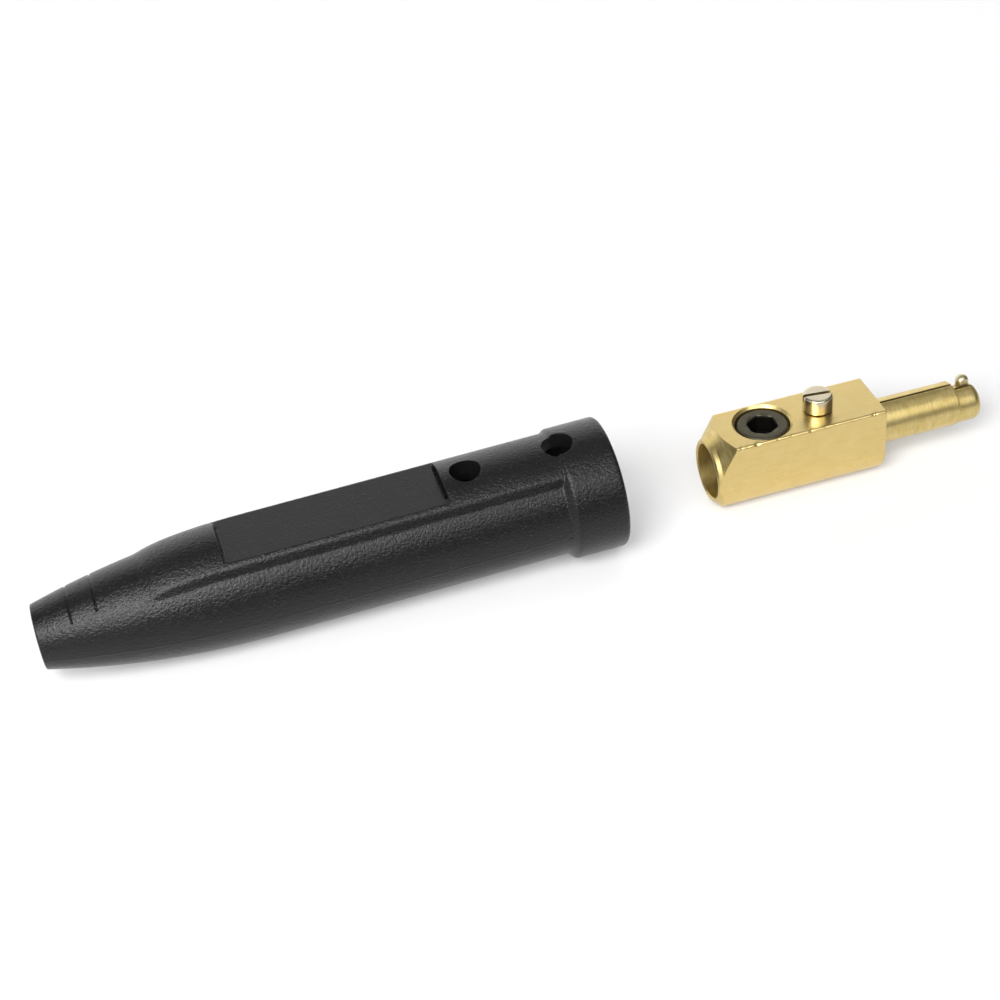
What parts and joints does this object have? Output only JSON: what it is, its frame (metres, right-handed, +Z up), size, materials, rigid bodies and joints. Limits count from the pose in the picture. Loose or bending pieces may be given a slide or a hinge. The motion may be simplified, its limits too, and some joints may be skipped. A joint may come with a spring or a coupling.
{
  "type": "male cable connector",
  "caption": "Single-pole male cable connector, taken apart: moulded rubber insulating sleeve beside its brass plug with clamping screw, retaining screw and split locking pin.",
  "frame": {"origin": "middle of the whole object's footprint, on the ground plane that the sleeve and the plug lie on", "axes": "+X along both pieces from the sleeve's cable end to the plug's split pin, +Y across to the far side, where the locking lug is, +Z up"},
  "size_m": [0.2854, 0.0386, 0.0387],
  "materials": {
    "rubber": "moulded, finely grained, semi-matt",
    "brass": "machined, bright",
    "black_steel": "black oxide",
    "zinc_steel": "zinc plated",
    "lug_steel": "turned, plain"
  },
  "bodies": {
    "connector": {"insulator_sleeve": "rubber", "plug_body": "brass", "lock_lug": "lug_steel"},
    "set_screw": {"set_screw": "black_steel"},
    "retaining_screw": {"retaining_screw": "zinc_steel"}
  },
  "joints": [
    {"name": "set_screw_travel", "type": "slide", "parent": "connector", "child": "set_screw", "axis": [0, 0, 1], "range_m": [-0.003, 0.004]},
    {"name": "retaining_screw_travel", "type": "slide", "parent": "connector", "child": "retaining_screw", "axis": [0, 0, 1], "range_m": [0, 0.006]}
  ]
}
